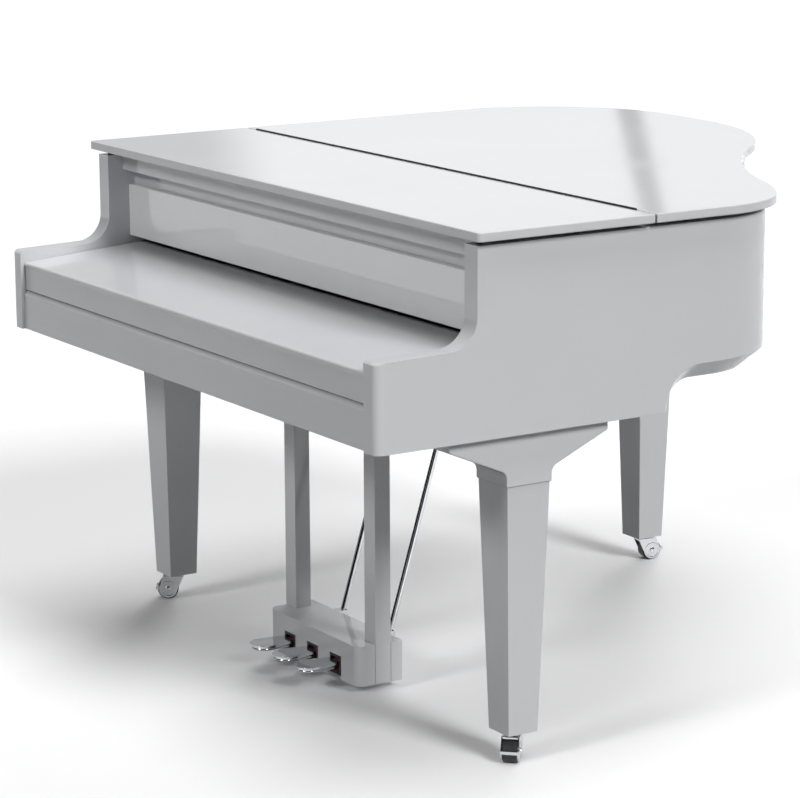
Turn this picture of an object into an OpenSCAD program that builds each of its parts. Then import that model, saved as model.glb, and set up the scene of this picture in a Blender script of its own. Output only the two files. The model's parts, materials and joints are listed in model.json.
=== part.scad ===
// Digital grand piano, closed: curved case on three tapered legs with casters, a two-part lid,
// a sliding key cover over a full keyboard, a folding music desk and a three-pedal lyre.
// Millimetres, +Z up, +X to the player's right, the player sits on the -Y side.
// Origin: on the floor, under the centre of the plan outline.

/* [Lid] */
// Width of the lid over both sides
lid_w = 1440; // [1400:10:1480]
// Height of the lid's top face above the floor
lid_top = 984; // [980:1:988]
// Thickness of both lid panels
lid_t = 17; // [15:1:18]
// How far the lid stands out past the case
lid_over = 20; // [18:1:22]
// Air gap between the rim and the lid
lid_gap = 9; // [8:0.5:10]
// Y of the lid's front edge
lid_front = -533; // [-535:1:-531]
// Y of the joint between the front flap and the main lid
lid_joint = -157; // [-160:1:-154]
// Y of the tail's straight edge
tail_y = 728; // [720:1:740]

/* [Lid outline] */
// Radius of the rounding at the left end of the tail
tail_left_r = 330; // [320:1:340]
// Length of the straight edge at the tail
tail_flat = 108; // [100:1:116]
// Radius of the tail's right rounding
tail_right_r = 534; // [530:1:538]
// Angle that the tail's right rounding turns through
tail_turn = 50; // [49:0.5:51]
// Radius of the hollow bent side
bent_r = 1008; // [1000:1:1016]
// Direction angle where the bent side runs into the belly
belly_start = 22; // [21:0.5:23]
// Radius of the belly's first part
belly_r1 = 480; // [470:1:490]
// Direction angle where the belly tightens
belly_mid = 38; // [37:0.5:39]

/* [Case] */
// Y of the arms' front faces
arm_front = -728; // [-730:1:-726]
// Thickness of the side boards and the rim
wall = 40; // [38:1:41]
// Height of the case's underside at the keyboard
bottom_front = 617; // [610:1:620]
// Height of the top of the arms beside the keyboard
arm_top = 777; // [772:1:780]
// Y of the upright part's front face
arm_face = -522; // [-526:1:-518]
// Radius of the curve between the arm and the upright part
arm_curve = 55; // [50:1:60]
// Radius of the vertical rounding at the arms' outer front corners
arm_round = 17; // [15:1:20]
// Y of the centre of the cove where the case gets shallower
step_y = -33; // [-36:1:-30]
// Radius of that cove on the outer face
cove_r = 82; // [78:1:86]

/* [Keyboard] */
// Number of white keys
white_n = 52; // [52:1:52]
// Pitch of the white keys
white_pitch = 23.54; // [23.4:0.01:23.6]
// Height of the white keys' top face
white_top = 693; // [690:0.5:693.5]
// Height of a black key above the white keys
black_h = 11; // [10:0.5:11]
// Y of the white keys' front ends
key_front = -703; // [-704:0.5:-700]
// Y of the bar that the keys turn on
key_pivot_y = -446; // [-448:1:-444]

/* [Key cover] */
// Height of the cover's top face at its nose
cover_nose = 756; // [754:1:758]
// Rise of the cover's top face from the nose to the panel
cover_rise = 16; // [14:1:17]
// Slope of the cover's guides, in degrees
cover_path = 9; // [8.5:0.1:9.2]
// How far the cover slides back
cover_travel = 155; // [140:1:160]

/* [Legs and casters] */
// Width of a leg at its foot
leg_foot_w = 63; // [58:1:68]
// Width of a front leg at its top
leg_top_w = 91; // [86:1:94]
// Height of the front legs' top ends
leg_top_z = 519; // [510:1:525]
// Height of the feet of the legs above the floor
leg_foot_z = 55; // [54:1:58]
// Distance of the front legs from the centre line
leg_x = 631; // [625:1:634]
// Y of the front legs
leg_y = -397; // [-402:1:-392]
// X of the rear leg
rear_leg_x = -326; // [-336:1:-316]
// Y of the rear leg
rear_leg_y = 618; // [600:1:620]
// Radius of the caster wheels
wheel_r = 22; // [20:0.5:22.5]
// Trail of the casters
trail = 18; // [14:1:20]
// Width of the caster wheels' tread
tread_w = 26; // [20:1:28]

/* [Lyre] */
// Half the width of the pedal box
lyre_half = 168; // [160:1:175]
// Y of the pedal box's front face
lyre_front = -438; // [-440:1:-434]
// Depth of the pedal box
lyre_d = 101; // [98:1:104]
// Height of the pedal box's underside
lyre_z0 = 16; // [14:1:18]
// Height of the pedal box's top face
lyre_z1 = 96; // [92:1:100]
// Distance between neighbouring pedals
pedal_pitch = 86; // [84:1:90]

/* [Hidden] */
$fn = 64;

// Case levels
half_w = lid_w / 2;
side_x = half_w - lid_over;
in_x = side_x - wall;
lid_z = lid_top - lid_t;
rim_top = lid_z - lid_gap;
bevel_h = 33;
bevel_slope = bevel_h / wall;
cove_in = cove_r - bevel_h;
bottom_rear = bottom_front + cove_r;
bottom_in = bottom_rear - bevel_h;
board_t = 18;
keybed_t = 24;
deck_top = 930;
deck_t = 16;
panel_y = -475;
beam_y = -488;
band_y = -462;
beam_z = 927;
panel_z1 = 896;
panel_z0 = 789;

// Lid outline: centres of its arcs
tail_x = -390;
tail_end_x = tail_x + tail_flat;
belly_r2 = 215;
c_left = [tail_x, tail_y - tail_left_r];
c_tail = [tail_end_x, tail_y - tail_right_r];
p_tail = c_tail + tail_right_r * [sin(tail_turn), cos(tail_turn)];
c_bent = p_tail + bent_r * [sin(tail_turn), cos(tail_turn)];
p_belly = c_bent - bent_r * [sin(belly_start), cos(belly_start)];
c_belly1 = p_belly - belly_r1 * [sin(belly_start), cos(belly_start)];
p_mid = c_belly1 + belly_r1 * [sin(belly_mid), cos(belly_mid)];
c_belly2 = [half_w - belly_r2, p_mid[1] - belly_r2 * cos(belly_mid)];

function arc(c, r, a0, a1, n) = [for (i = [0:n]) let(a = a0 + (a1 - a0) * i / n)
    c + r * [cos(a), sin(a)]];

// The same without the last point, for an arc that runs on into the next one
function lead(c, r, a0, a1, n) = arc(c, r, a0, a1 - (a1 - a0) / n, n - 1);

// Curved edge of the lid moved inwards by i, from the belly round the tail to the spine
function edge(i) = concat(
    lead(c_belly2, belly_r2 - i, 0, 90 - belly_mid, 12),
    lead(c_belly1, belly_r1 - i, 90 - belly_mid, 90 - belly_start, 4),
    lead(c_bent, bent_r + i, 270 - belly_start, 270 - tail_turn, 8),
    arc(c_tail, tail_right_r - i, 90 - tail_turn, 90, 12),
    arc(c_left, tail_left_r - i, 90, 180, 18));

// Closed outline of the lid moved inwards by i, with its front edge at y0
function outline(i, y0) = concat([[-half_w + i, y0], [half_w - i, y0]], edge(i));

// Key cover
cover_back = -440;
cover_t = 12;
cover_slope = cover_rise / (panel_y + 720);
cover_half = in_x - 1.5;
lip_z = 698;
roller_y = -452;
roller_z = 747;
roller_r = 5;

// Keys
key_back = -438;
key_t = 20;
key_gap = 1;
black_w = 13.7;
black_front = -653;
black_end = -556;
keys_w = white_n * white_pitch;
cheek_x = keys_w / 2 + 1.2;
pivot_z = 682;
pivot_r = 3;
run = 0.05;

// Hinge along the flap joint
flap_z = lid_top + 0.6;
flap_gap = 2.6;
flap_r = 2.2;
flap_pin = 1;
flap_x0 = -half_w + 44;
flap_x1 = half_w - 59;
flap_n = 12;
flap_pitch = (flap_x1 - flap_x0) / flap_n;

// Spine hinges
spine_x = -side_x - 7;
spine_z = lid_z - 5.5;
spine_r = 3.8;
spine_pin = 1.6;
spine_len = 60;
SPINE_Y = [-80, 150, 380];

// Lid prop
prop_x = 95;
prop_y = -110;
prop_z = 942;
prop_len = 525;
prop_r = 7;
pad_x = 280;

// Music desk
desk_axis = [-420, 936];
desk_len = 200;
desk_half = 330;
desk_z = 941;
desk_t = 12;
strut_off = 100;
strut_r = 2.5;

// Lyre
post_x = 149;
post_w = 39.5;
post_y = -398;
post_d = 35;
post_gap = 0.8;
slot_w = 36;
slot_z0 = 26;
slot_z1 = 61;
pedal_y = -362;
pedal_z = 48;
strut_x = 88;
strut_y0 = -316;
strut_y1 = -152;
rod_r = 6;
WHITE = [0.86, 0.87, 0.9];
CHROME = [0.75, 0.76, 0.78];

// Extrudes a (y, z) shape along X from x0 over a width w
module along_x(x0, w) {
    translate([x0, 0, 0]) rotate([90, 0, 90]) linear_extrude(w) children();
}

// Extrudes an (x, z) shape along Y from y0 over a depth d
module along_y(y0, d) {
    translate([0, y0 + d, 0]) rotate([90, 0, 0]) linear_extrude(d) children();
}

module box(p0, p1) {
    translate(p0) cube(p1 - p0);
}

// Cylinder between two X positions on the line (y, z)
module rod_x(x0, x1, y, z, r) {
    translate([x0, y, z]) rotate([0, 90, 0]) cylinder(r = r, h = x1 - x0);
}

// Cylinder between two Y positions on the line (x, z)
module rod_y(y0, y1, x, z, r) {
    translate([x, y1, z]) rotate([90, 0, 0]) cylinder(r = r, h = y1 - y0);
}

// Side profile: arm, concave curve and upright part; the cove is cut afterwards
module side_profile(y_end) {
    c = [arm_face - arm_curve, arm_top + arm_curve + 3];
    polygon(concat(
        [[arm_front, bottom_front], [y_end, bottom_front], [y_end, rim_top], [arm_face, rim_top]],
        arc(c, arm_curve, 0, -90, 14),
        [[arm_front + 4, arm_top], [arm_front, arm_top - 4]]));
}

// A side board on the right; its lower edge steps up through a bevelled cove
module side_board(y_end) {
    difference() {
        along_x(in_x, wall) side_profile(y_end);
        translate([in_x, step_y, bottom_front]) rotate([0, 90, 0])
            cylinder(r1 = cove_in, r2 = cove_r, h = wall, $fn = 96);
        along_y(step_y, y_end - step_y + 1) polygon([[in_x - 1, bottom_front - 1],
            [in_x - 1, bottom_in - bevel_slope], [side_x + 1, bottom_rear + bevel_slope],
            [side_x + 1, bottom_front - 1]]);
        difference() {
            box([side_x - arm_round, arm_front - 1, bottom_front - 1],
                [side_x + 1, arm_front + arm_round, arm_top + 1]);
            translate([side_x - arm_round, arm_front + arm_round, bottom_front - 2])
                cylinder(r = arm_round, h = arm_top - bottom_front + 4);
        }
    }
}

module side_right() { color(WHITE) side_board(c_belly2[1]); }

module side_left() { color(WHITE) mirror([1, 0, 0]) side_board(c_left[1]); }

// Corner points of the rim's cross-section at every point of the curved edge
function rim_points() = let(o = edge(lid_over), q = edge(lid_over + wall))
    [for (k = [0:len(o) - 1]) each [
        [o[k][0], o[k][1], bottom_rear], [o[k][0], o[k][1], rim_top],
        [q[k][0], q[k][1], rim_top], [q[k][0], q[k][1], bottom_in]]];

// Curved rim with a bevelled lower edge, round the belly, the bent side and the tail
module rim() {
    p = rim_points();
    m = len(p) - 4;
    color(WHITE) polyhedron(points = p, faces = concat([[0, 3, 2, 1], [m, m + 1, m + 2, m + 3]],
        [for (k = [0:4:m - 4], j = [0:3]) let(n = (j + 1) % 4) [k + j, k + n, k + 4 + n, k + 4 + j]]));
}

// Keyboard floor board
module keybed() {
    color(WHITE) box([-in_x, -706, bottom_front],
        [in_x, step_y - cove_in - board_t, bottom_front + keybed_t]);
}

WOOFER = [[-250, 210], [230, 160]];
woofer_r = 76;

// Bottom board of the rear part, with its cove up from the keyboard floor
module rear_bottom() {
    color(WHITE) difference() {
        union() {
            translate([0, 0, bottom_in]) linear_extrude(board_t)
                polygon(outline(lid_over + wall, step_y));
            intersection() {
                rod_x(-in_x, in_x, step_y, bottom_front, cove_in + board_t);
                box([-in_x, step_y - cove_r, bottom_front], [in_x, step_y, bottom_rear]);
            }
        }
        rod_x(-in_x - 1, in_x + 1, step_y, bottom_front, cove_in);
        for (p = WOOFER) translate([p[0], p[1], bottom_in - 1])
            cylinder(r = woofer_r, h = board_t + 2);
    }
}

// Beam under the lid's front edge, with a recessed band below it
module front_beam() {
    color(WHITE) along_x(-in_x, 2 * in_x) polygon([[beam_y, beam_z], [beam_y, rim_top],
        [-458, rim_top], [-458, deck_top], [-444, deck_top], [-444, panel_z1], [band_y, panel_z1],
        [band_y, beam_z]]);
}

// Glossy panel behind the key cover
module front_panel() {
    color(WHITE) box([-in_x, panel_y, panel_z0], [in_x, panel_y + 16, panel_z1]);
}

TWEETER = [[-420, 120], [420, 20], [-420, -60], [60, 340]];
tweeter_r = 38;

// Inner deck under the lids, carrying the upper speakers
module top_deck() {
    color([0.2, 0.2, 0.21]) difference() {
        translate([0, 0, deck_top - deck_t]) linear_extrude(deck_t)
            polygon(outline(lid_over + wall, -444));
        for (p = TWEETER) translate([p[0], p[1], deck_top - deck_t - 1])
            cylinder(r = tweeter_r, h = deck_t + 2);
    }
}

// Front rail below the key cover, with a bevelled top edge
module key_slip() {
    color(WHITE) along_x(-in_x, 2 * in_x) polygon([[-722, bottom_front], [-722, 687], [-713, 695],
        [-706, 695], [-706, bottom_front]]);
}

module cheek_block() {
    box([cheek_x, key_front, bottom_front + keybed_t], [in_x, -520, white_top - 2]);
}

module cheek_right() { color(WHITE) cheek_block(); }

// The left block also holds the switch and the knob
module cheek_left() {
    color(WHITE) difference() {
        mirror([1, 0, 0]) cheek_block();
        translate([-636, -560, white_top - 8]) cylinder(r = 9, h = 10);
        translate([-636, -630, white_top - 8]) cylinder(r = 13, h = 10);
    }
}

module power_button() {
    color([0.1, 0.1, 0.11]) translate([-636, -560, white_top - 5]) cylinder(r = 8.5, h = 6);
}

module volume_knob() {
    color([0.1, 0.1, 0.11]) translate([-636, -630, white_top - 7.5]) {
        cylinder(r = 12.4, h = 9);
        translate([-1, 3, 9]) cube([2, 8, 0.8]);
    }
}

// Rails under the keys and the bar that they turn on
module key_frame() {
    color([0.3, 0.31, 0.33]) {
        box([-keys_w / 2, -690, bottom_front + keybed_t], [keys_w / 2, -660, 658]);
        box([-keys_w / 2 - 20, -434, bottom_front + keybed_t], [keys_w / 2 + 20, -424, 700]);
        rod_x(-keys_w / 2 - 20, keys_w / 2 + 20, key_pivot_y, pivot_z, pivot_r);
        for (s = [-1, 1]) translate([s * (keys_w / 2 + 14), 0, 0])
            box([-6, key_pivot_y - 6, bottom_front + keybed_t], [6, -424, pivot_z + 6]);
    }
}

// Tracks on the inner faces of the sides, in which the cover's rollers run
module cover_rails() {
    color([0.5, 0.5, 0.52]) for (s = [0, 1]) mirror([s, 0, 0])
        translate([0, roller_y, roller_z]) rotate([cover_path, 0, 0]) {
            box([644, -14, -roller_r - 4], [in_x, cover_travel + 14, -roller_r - 0.3]);
            box([644, -14, roller_r + 0.3], [in_x, cover_travel + 14, roller_r + 3]);
        }
}

// Sliding cover: sloping top board, rounded nose, front lip and two guide rollers
module key_cover() {
    z_back = cover_nose + (cover_back + 720) * cover_slope;
    color(WHITE) {
        along_x(-cover_half, 2 * cover_half) polygon(concat([[-717, lip_z], [-717, 742.5]],
            arc([-714, 749], 6, 220, 100, 6),
            [[cover_back, z_back], [cover_back, z_back - cover_t],
            [-704, cover_nose - cover_t + 1], [-704, lip_z]]));
        for (s = [-1, 1]) {
            translate([s * 634, 0, 0]) box([-4, roller_y - 8, roller_z - 6], [4, roller_y + 8, 762]);
            rod_x(s * 646 - 10, s * 646 + 10, roller_y, roller_z, roller_r);
        }
    }
}

// Front flap of the lid
module front_lid() {
    r = 8;
    y1 = lid_joint - flap_gap;
    color(WHITE) translate([0, 0, lid_z]) linear_extrude(lid_t) polygon(concat(
        arc([-half_w + r, lid_front + r], r, 180, 270, 6),
        arc([half_w - r, lid_front + r], r, 270, 360, 6), [[half_w, y1], [-half_w, y1]]));
}

// Rear part of the lid, in the plan shape of the case
module main_lid() {
    color(WHITE) translate([0, 0, lid_z]) linear_extrude(lid_t)
        polygon(outline(0, lid_joint + flap_gap));
}

// Half of the long hinge: a leaf on a lid edge and every second knuckle; side is -1 or 1
module flap_hinge(side, first) {
    leaf = lid_joint + side * (flap_gap - 0.5);
    difference() {
        union() {
            box([flap_x0, leaf - 0.5, lid_top - 13], [flap_x1, leaf + 0.5, flap_z - flap_r - 0.4]);
            for (i = [first:2:flap_n - 1]) {
                x = flap_x0 + i * flap_pitch;
                box([x + 0.3, leaf - 0.5, lid_top - 13], [x + flap_pitch - 0.3, leaf + 0.5, flap_z]);
                rod_x(x + 0.3, x + flap_pitch - 0.3, lid_joint, flap_z, flap_r);
            }
        }
        if (side < 0) rod_x(flap_x0 - 1, flap_x1 + 1, lid_joint, flap_z, flap_pin + run);
    }
}

module flap_hinge_front() { color([0.1, 0.1, 0.11]) flap_hinge(-1, 0); }

// The rear half carries the pin
module flap_hinge_rear() {
    color([0.1, 0.1, 0.11]) {
        flap_hinge(1, 1);
        rod_x(flap_x0 + 0.5, flap_x1 - 0.5, lid_joint, flap_z, flap_pin);
    }
}

// Case half of the three spine hinges: leaf, outer knuckles and pin
module spine_hinge_case() {
    k = spine_len / 3;
    color(CHROME) for (y = SPINE_Y) {
        box([-side_x - 1.5, y - spine_len / 2, rim_top - 30],
            [-side_x, y + spine_len / 2, spine_z - 0.5]);
        for (j = [-1, 1]) translate([0, y + j * k, 0]) {
            rod_y(-k / 2 + 0.2, k / 2 - 0.2, spine_x, spine_z, spine_r);
            box([spine_x, -k / 2 + 0.2, spine_z - spine_r], [-side_x, k / 2 - 0.2, spine_z - 1.8]);
        }
        rod_y(y - spine_len / 2 + 1, y + spine_len / 2 - 1, spine_x, spine_z, spine_pin);
    }
}

// Lid half of the spine hinges: leaf under the lid and the middle knuckle
module spine_hinge_lid() {
    k = spine_len / 3;
    color(CHROME) for (y = SPINE_Y) difference() {
        union() {
            box([-half_w + 4, y - spine_len / 2, lid_z - 1.4],
                [-side_x - 4, y + spine_len / 2, lid_z]);
            rod_y(y - k / 2 + 0.2, y + k / 2 - 0.2, spine_x, spine_z, spine_r);
            box([spine_x - spine_r, y - k / 2 + 0.2, spine_z],
                [spine_x - 1.8, y + k / 2 - 0.2, lid_z - 1]);
        }
        rod_y(y - k, y + k, spine_x, spine_z, spine_pin + run);
    }
}

// Stick that holds the main lid up; it lies across the case when the lid is closed
module lid_prop() {
    color(WHITE) difference() {
        union() {
            translate([prop_x + 4, prop_y, prop_z]) rotate([0, 90, 0])
                cylinder(r = prop_r, h = prop_len - prop_r - 4);
            translate([prop_x + prop_len - prop_r, prop_y, prop_z]) sphere(r = prop_r);
            rod_y(prop_y - 6, prop_y + 6, prop_x, prop_z, prop_r + 1);
        }
        rod_y(prop_y - 10, prop_y + 10, prop_x, prop_z, 3 + run);
    }
}

// Two ears on the deck and the pin of the prop
module prop_bracket() {
    color(CHROME) {
        box([prop_x - 24, prop_y - 16, deck_top], [prop_x + 24, prop_y + 16, deck_top + 2]);
        for (s = [-1, 1]) {
            rod_y(prop_y + s * 9 - 2, prop_y + s * 9 + 2, prop_x, prop_z, 9);
            box([prop_x - 9, prop_y + s * 9 - 2, deck_top], [prop_x + 9, prop_y + s * 9 + 2, prop_z]);
        }
        rod_y(prop_y - 12, prop_y + 12, prop_x, prop_z, 3);
    }
}

// Pad under the main lid that the prop's end meets
module prop_pad() {
    color(CHROME) translate([pad_x, prop_y, lid_z - 13]) difference() {
        cylinder(r = 20, h = 13);
        translate([0, 0, -1]) cylinder(r = 9, h = 5);
    }
}

// Music desk board with its ledge, hinge lugs and strut lugs
module music_desk() {
    a = desk_axis;
    color(WHITE) difference() {
        union() {
            box([-desk_half, a[0] + 2, desk_z], [desk_half, a[0] + 2 + desk_len, desk_z + desk_t]);
            box([-desk_half, a[0] + 2, desk_z], [desk_half, a[0] + 8, desk_z + desk_t + 9]);
            for (x = [-260, 260]) translate([x, 0, 0]) {
                rod_x(-12, 12, a[0], a[1], 4);
                box([-12, a[0], a[1] - 1], [12, a[0] + 12, desk_z + 1]);
            }
            for (x = [-50, 50]) translate([x, 0, 0]) {
                rod_x(-8, 8, a[0] + strut_off, a[1], 4);
                box([-8, a[0] + strut_off - 4, a[1]], [8, a[0] + strut_off + 4, desk_z + 1]);
            }
        }
        rod_x(-desk_half, desk_half, a[0], a[1], 2 + run);
        rod_x(-desk_half, desk_half, a[0] + strut_off, a[1], strut_r + run);
    }
}

// Fixed lugs and pins of the desk hinges
module desk_hinge() {
    a = desk_axis;
    color(CHROME) for (x = [-260, 260]) translate([x, 0, 0]) {
        for (s = [-1, 1]) box([s * 16 - 3, a[0] - 3, deck_top], [s * 16 + 3, a[0] + 5, a[1] + 3]);
        rod_x(-18, 18, a[0], a[1], 2);
    }
}

// Wire frame that swings out behind the desk and stands on the deck
module desk_strut() {
    y = desk_axis[0] + strut_off;
    z = desk_axis[1];
    color(CHROME) {
        rod_x(-80, 80, y, z, strut_r);
        rod_x(-80, 80, y + strut_off, z, strut_r + 0.8);
        for (x = [-78, 78]) rod_y(y, y + strut_off, x, z, strut_r);
    }
}

// Rubber pads on the rim that the closed lids rest on
module lid_bumpers() {
    color([0.15, 0.15, 0.16]) for (s = [-1, 1], y = [-505, -300, -190, -60])
        translate([s * (side_x - wall / 2), y, rim_top]) cylinder(r = 6, h = lid_gap - 0.3);
}

// Square tapered leg with the socket of its caster's stem
module leg(top_z, top_w) {
    f = leg_foot_w / 2;
    t = top_w / 2;
    h = top_z - leg_foot_z;
    translate([0, 0, leg_foot_z]) difference() {
        polyhedron(
            points = [[-f, -f, 0], [f, -f, 0], [f, f, 0], [-f, f, 0],
                [-t, -t, h], [t, -t, h], [t, t, h], [-t, t, h]],
            faces = [[0, 1, 2, 3], [4, 7, 6, 5], [0, 4, 5, 1], [1, 5, 6, 2], [2, 6, 7, 3],
                [3, 7, 4, 0]]);
        translate([0, 0, -1]) cylinder(r = stem_r + run, h = stem_h + 2);
    }
}

taper = (leg_top_w - leg_foot_w) / (leg_top_z - leg_foot_z);
rear_top_z = bottom_in - 14;

module leg_front_right() { color(WHITE) translate([leg_x, leg_y, 0]) leg(leg_top_z, leg_top_w); }

module leg_front_left() { color(WHITE) translate([-leg_x, leg_y, 0]) leg(leg_top_z, leg_top_w); }

module leg_rear() {
    color(WHITE) translate([rear_leg_x, rear_leg_y, 0])
        leg(rear_top_z, leg_foot_w + taper * (rear_top_z - leg_foot_z));
}

// Half of a front leg bracket's outline, as (y, z) seen from the side
module bracket_half() {
    reach = 170;
    r = 18;
    c = [leg_top_w / 2 + 3 + r, leg_top_z + 14];
    polygon(concat([[0, leg_top_z], [c[0] - r, leg_top_z]],
        arc(c, r, 180, 118, 6),
        [[reach, bottom_front - 20], [reach, bottom_front], [0, bottom_front]]));
}

module leg_brackets() {
    w = leg_top_w + 6;
    color(WHITE) {
        for (s = [-1, 1]) translate([s * leg_x - w / 2, leg_y, 0]) {
            along_x(0, w) bracket_half();
            mirror([0, 1, 0]) along_x(0, w) bracket_half();
        }
        translate([rear_leg_x, rear_leg_y - 6, 0])
            box([-62, -58, rear_top_z], [62, 58, bottom_in]);
    }
}

stem_r = 5;
stem_h = 30;

// Swivel forks: place, leg position and the direction of the trail in degrees
CASTERS = [[leg_x, leg_y, -45], [-leg_x, leg_y, -122], [rear_leg_x, rear_leg_y, 78]];

module at_caster(i) {
    translate([CASTERS[i][0], CASTERS[i][1], 0]) rotate([0, 0, CASTERS[i][2]]) children();
}

cheek_r = 19.5;
cheek_t = 2.5;
cheek_y = tread_w / 2 + 1;

// Fork trailing along +X, with its swivel plate, round cheeks, axle and a guard bar at the wheel
module fork() {
    plate_z = leg_foot_z - 3;
    top = plate_z - 3;
    guard_x = trail + wheel_r + 1;
    color(CHROME) {
        translate([0, 0, plate_z]) cylinder(r = 20, h = 2.7);
        translate([0, 0, top - 1]) cylinder(r = 13, h = 5);
        translate([0, 0, top - 1]) cylinder(r = stem_r, h = stem_h + 6);
        box([-15, -cheek_y - cheek_t, 2 * wheel_r + 1.5], [trail + 10, cheek_y + cheek_t, top]);
        for (s = [0, 1]) mirror([0, s, 0]) translate([0, cheek_y + cheek_t, 0]) {
            rotate([90, 0, 0]) linear_extrude(cheek_t) {
                translate([trail, wheel_r]) circle(cheek_r);
                polygon([[-15, top], [trail + 10, top], [trail + 18, wheel_r + 6],
                    [trail - 18, wheel_r - 6]]);
            }
            box([trail + 12, -cheek_t, wheel_r - 1], [guard_x + 2.5, 0, wheel_r + 5]);
        }
        box([guard_x, -cheek_y - 1, wheel_r - 1], [guard_x + 2.5, cheek_y + 1, wheel_r + 5]);
        rod_y(-cheek_y - cheek_t - 1.5, cheek_y + cheek_t + 1.5, trail, wheel_r, 3);
    }
}

module wheel() {
    color([0.12, 0.12, 0.13]) difference() {
        union() {
            rod_y(-tread_w / 2, tread_w / 2, trail, wheel_r, wheel_r);
            rod_y(-cheek_y + 0.3, cheek_y - 0.3, trail, wheel_r, 8);
        }
        rod_y(-tread_w, tread_w, trail, wheel_r, 3 + run);
    }
}

module fork_front_right() { at_caster(0) fork(); }
module fork_front_left() { at_caster(1) fork(); }
module fork_rear() { at_caster(2) fork(); }
module wheel_front_right() { at_caster(0) wheel(); }
module wheel_front_left() { at_caster(1) wheel(); }
module wheel_rear() { at_caster(2) wheel(); }

// Pedal box with rounded front corners, a notch for each post and a slot for each pedal
module lyre_box() {
    r = 19;
    y1 = lyre_front + lyre_d;
    color(WHITE) difference() {
        translate([0, 0, lyre_z0]) linear_extrude(lyre_z1 - lyre_z0) polygon(concat(
            arc([-lyre_half + r, lyre_front + r], r, 180, 270, 8),
            arc([lyre_half - r, lyre_front + r], r, 270, 360, 8),
            [[lyre_half, y1], [-lyre_half, y1]]));
        for (s = [0, 1]) mirror([s, 0, 0])
            box([post_x - post_w / 2, post_y - post_gap, lyre_z0 - 1],
                [lyre_half + 1, post_y + post_d + post_gap, lyre_z1 + 1]);
        for (i = [-1:1]) {
            x = i * pedal_pitch;
            box([x - slot_w / 2, lyre_front - 1, slot_z0], [x + slot_w / 2, y1 - 12, slot_z1]);
            rod_x(x - 26, x + 26, pedal_y, pedal_z, 3);
        }
    }
}

// Two square posts from the sides of the pedal box up to the keyboard floor, with head plates
module lyre_posts() {
    color(WHITE) for (s = [-1, 1]) translate([s * post_x, post_y, 0]) {
        box([-post_w / 2, 0, lyre_z0], [post_w / 2, post_d, bottom_front]);
        box([-post_w / 2 - 14, -12, bottom_front - 12],
            [post_w / 2 + 14, post_d + 12, bottom_front]);
    }
}

// Slanting stays from the back of the pedal box up to the keyboard floor
module lyre_struts() {
    z0 = 80;
    z1 = bottom_front - 8;
    dy = strut_y1 - strut_y0;
    dz = z1 - z0;
    color(CHROME) for (s = [-1, 1]) translate([s * strut_x, 0, 0]) {
        translate([0, strut_y0, z0]) rotate([-atan2(dy, dz), 0, 0])
            cylinder(r = rod_r, h = norm([dy, dz]));
        box([-11, lyre_front + lyre_d, z0 - 12], [11, strut_y0 + 8, z0 + 12]);
        box([-11, strut_y1 - 22, z1 - 4], [11, strut_y1 + 22, bottom_front]);
    }
}

// Pedal lever with a wide rounded tread, stiffened by a web below it
module pedal(x) {
    tip = -519;
    t = 10;
    r = 20;
    web = 12;
    color(CHROME) translate([x, 0, 0]) difference() {
        union() {
            translate([0, 0, pedal_z - t / 2]) linear_extrude(t) polygon(concat(
                [[-11, pedal_y + 8], [-11, lyre_front - 6]], arc([0, tip + r], r, 150, 390, 20),
                [[11, lyre_front - 6], [11, pedal_y + 8]]));
            box([-8, lyre_front - 46, pedal_z - web], [8, pedal_y, pedal_z]);
            rod_x(-11, 11, pedal_y, pedal_z, 8);
        }
        rod_x(-12, 12, pedal_y, pedal_z, 3 + run);
    }
}

module pedal_left() { pedal(-pedal_pitch); }
module pedal_middle() { pedal(0); }
module pedal_right() { pedal(pedal_pitch); }

module pedal_pins() {
    color(CHROME) for (i = [-1:1])
        rod_x(i * pedal_pitch - 26, i * pedal_pitch + 26, pedal_y, pedal_z, 3);
}

// Felt lining of the pedal slots, above and below the levers
module pedal_felts() {
    color([0.6, 0.08, 0.08]) for (i = [-1:1]) translate([i * pedal_pitch, 0, 0]) {
        box([-slot_w / 2, lyre_front + 3, slot_z1 - 4], [slot_w / 2, lyre_front + 40, slot_z1]);
        box([-slot_w / 2, lyre_front + 3, slot_z0], [slot_w / 2, lyre_front + 40, slot_z0 + 3]);
        box([slot_w / 2 - 3, lyre_front + 3, slot_z0 + 3],
            [slot_w / 2, lyre_front + 40, slot_z1 - 4]);
    }
}

// Loudspeaker driver above its hole: flange, basket cone and magnet
module driver(r, depth) {
    difference() {
        union() {
            cylinder(r = r + 10, h = 4);
            cylinder(r1 = r, r2 = r * 0.45, h = depth * 0.6);
            translate([0, 0, depth * 0.5]) cylinder(r = r * 0.55, h = depth * 0.5);
        }
        translate([0, 0, -1]) cylinder(r1 = r - 5, r2 = r * 0.2, h = depth * 0.45);
    }
}

module woofers() {
    color([0.15, 0.15, 0.16]) for (p = WOOFER)
        translate([p[0], p[1], bottom_in + board_t]) driver(woofer_r, 90);
}

module tweeters() {
    color([0.15, 0.15, 0.16]) for (p = TWEETER)
        translate([p[0], p[1], deck_top - deck_t]) mirror([0, 0, 1]) driver(tweeter_r, 60);
}

// Ribbed round grilles, under the woofers and over the upper speakers
module grille(r) {
    difference() {
        cylinder(r = r + 6, h = 3);
        translate([0, 0, -1]) for (x = [-r + 12:12:r - 12])
            box([x - 3, -sqrt(r * r - x * x) + 5, 0], [x + 3, sqrt(r * r - x * x) - 5, 5]);
    }
}

module speaker_grilles() {
    color([0.1, 0.1, 0.11]) {
        for (p = WOOFER) translate([p[0], p[1], bottom_in - 3]) grille(woofer_r);
        for (p = TWEETER) translate([p[0], p[1], deck_top]) grille(tweeter_r);
    }
}

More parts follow.
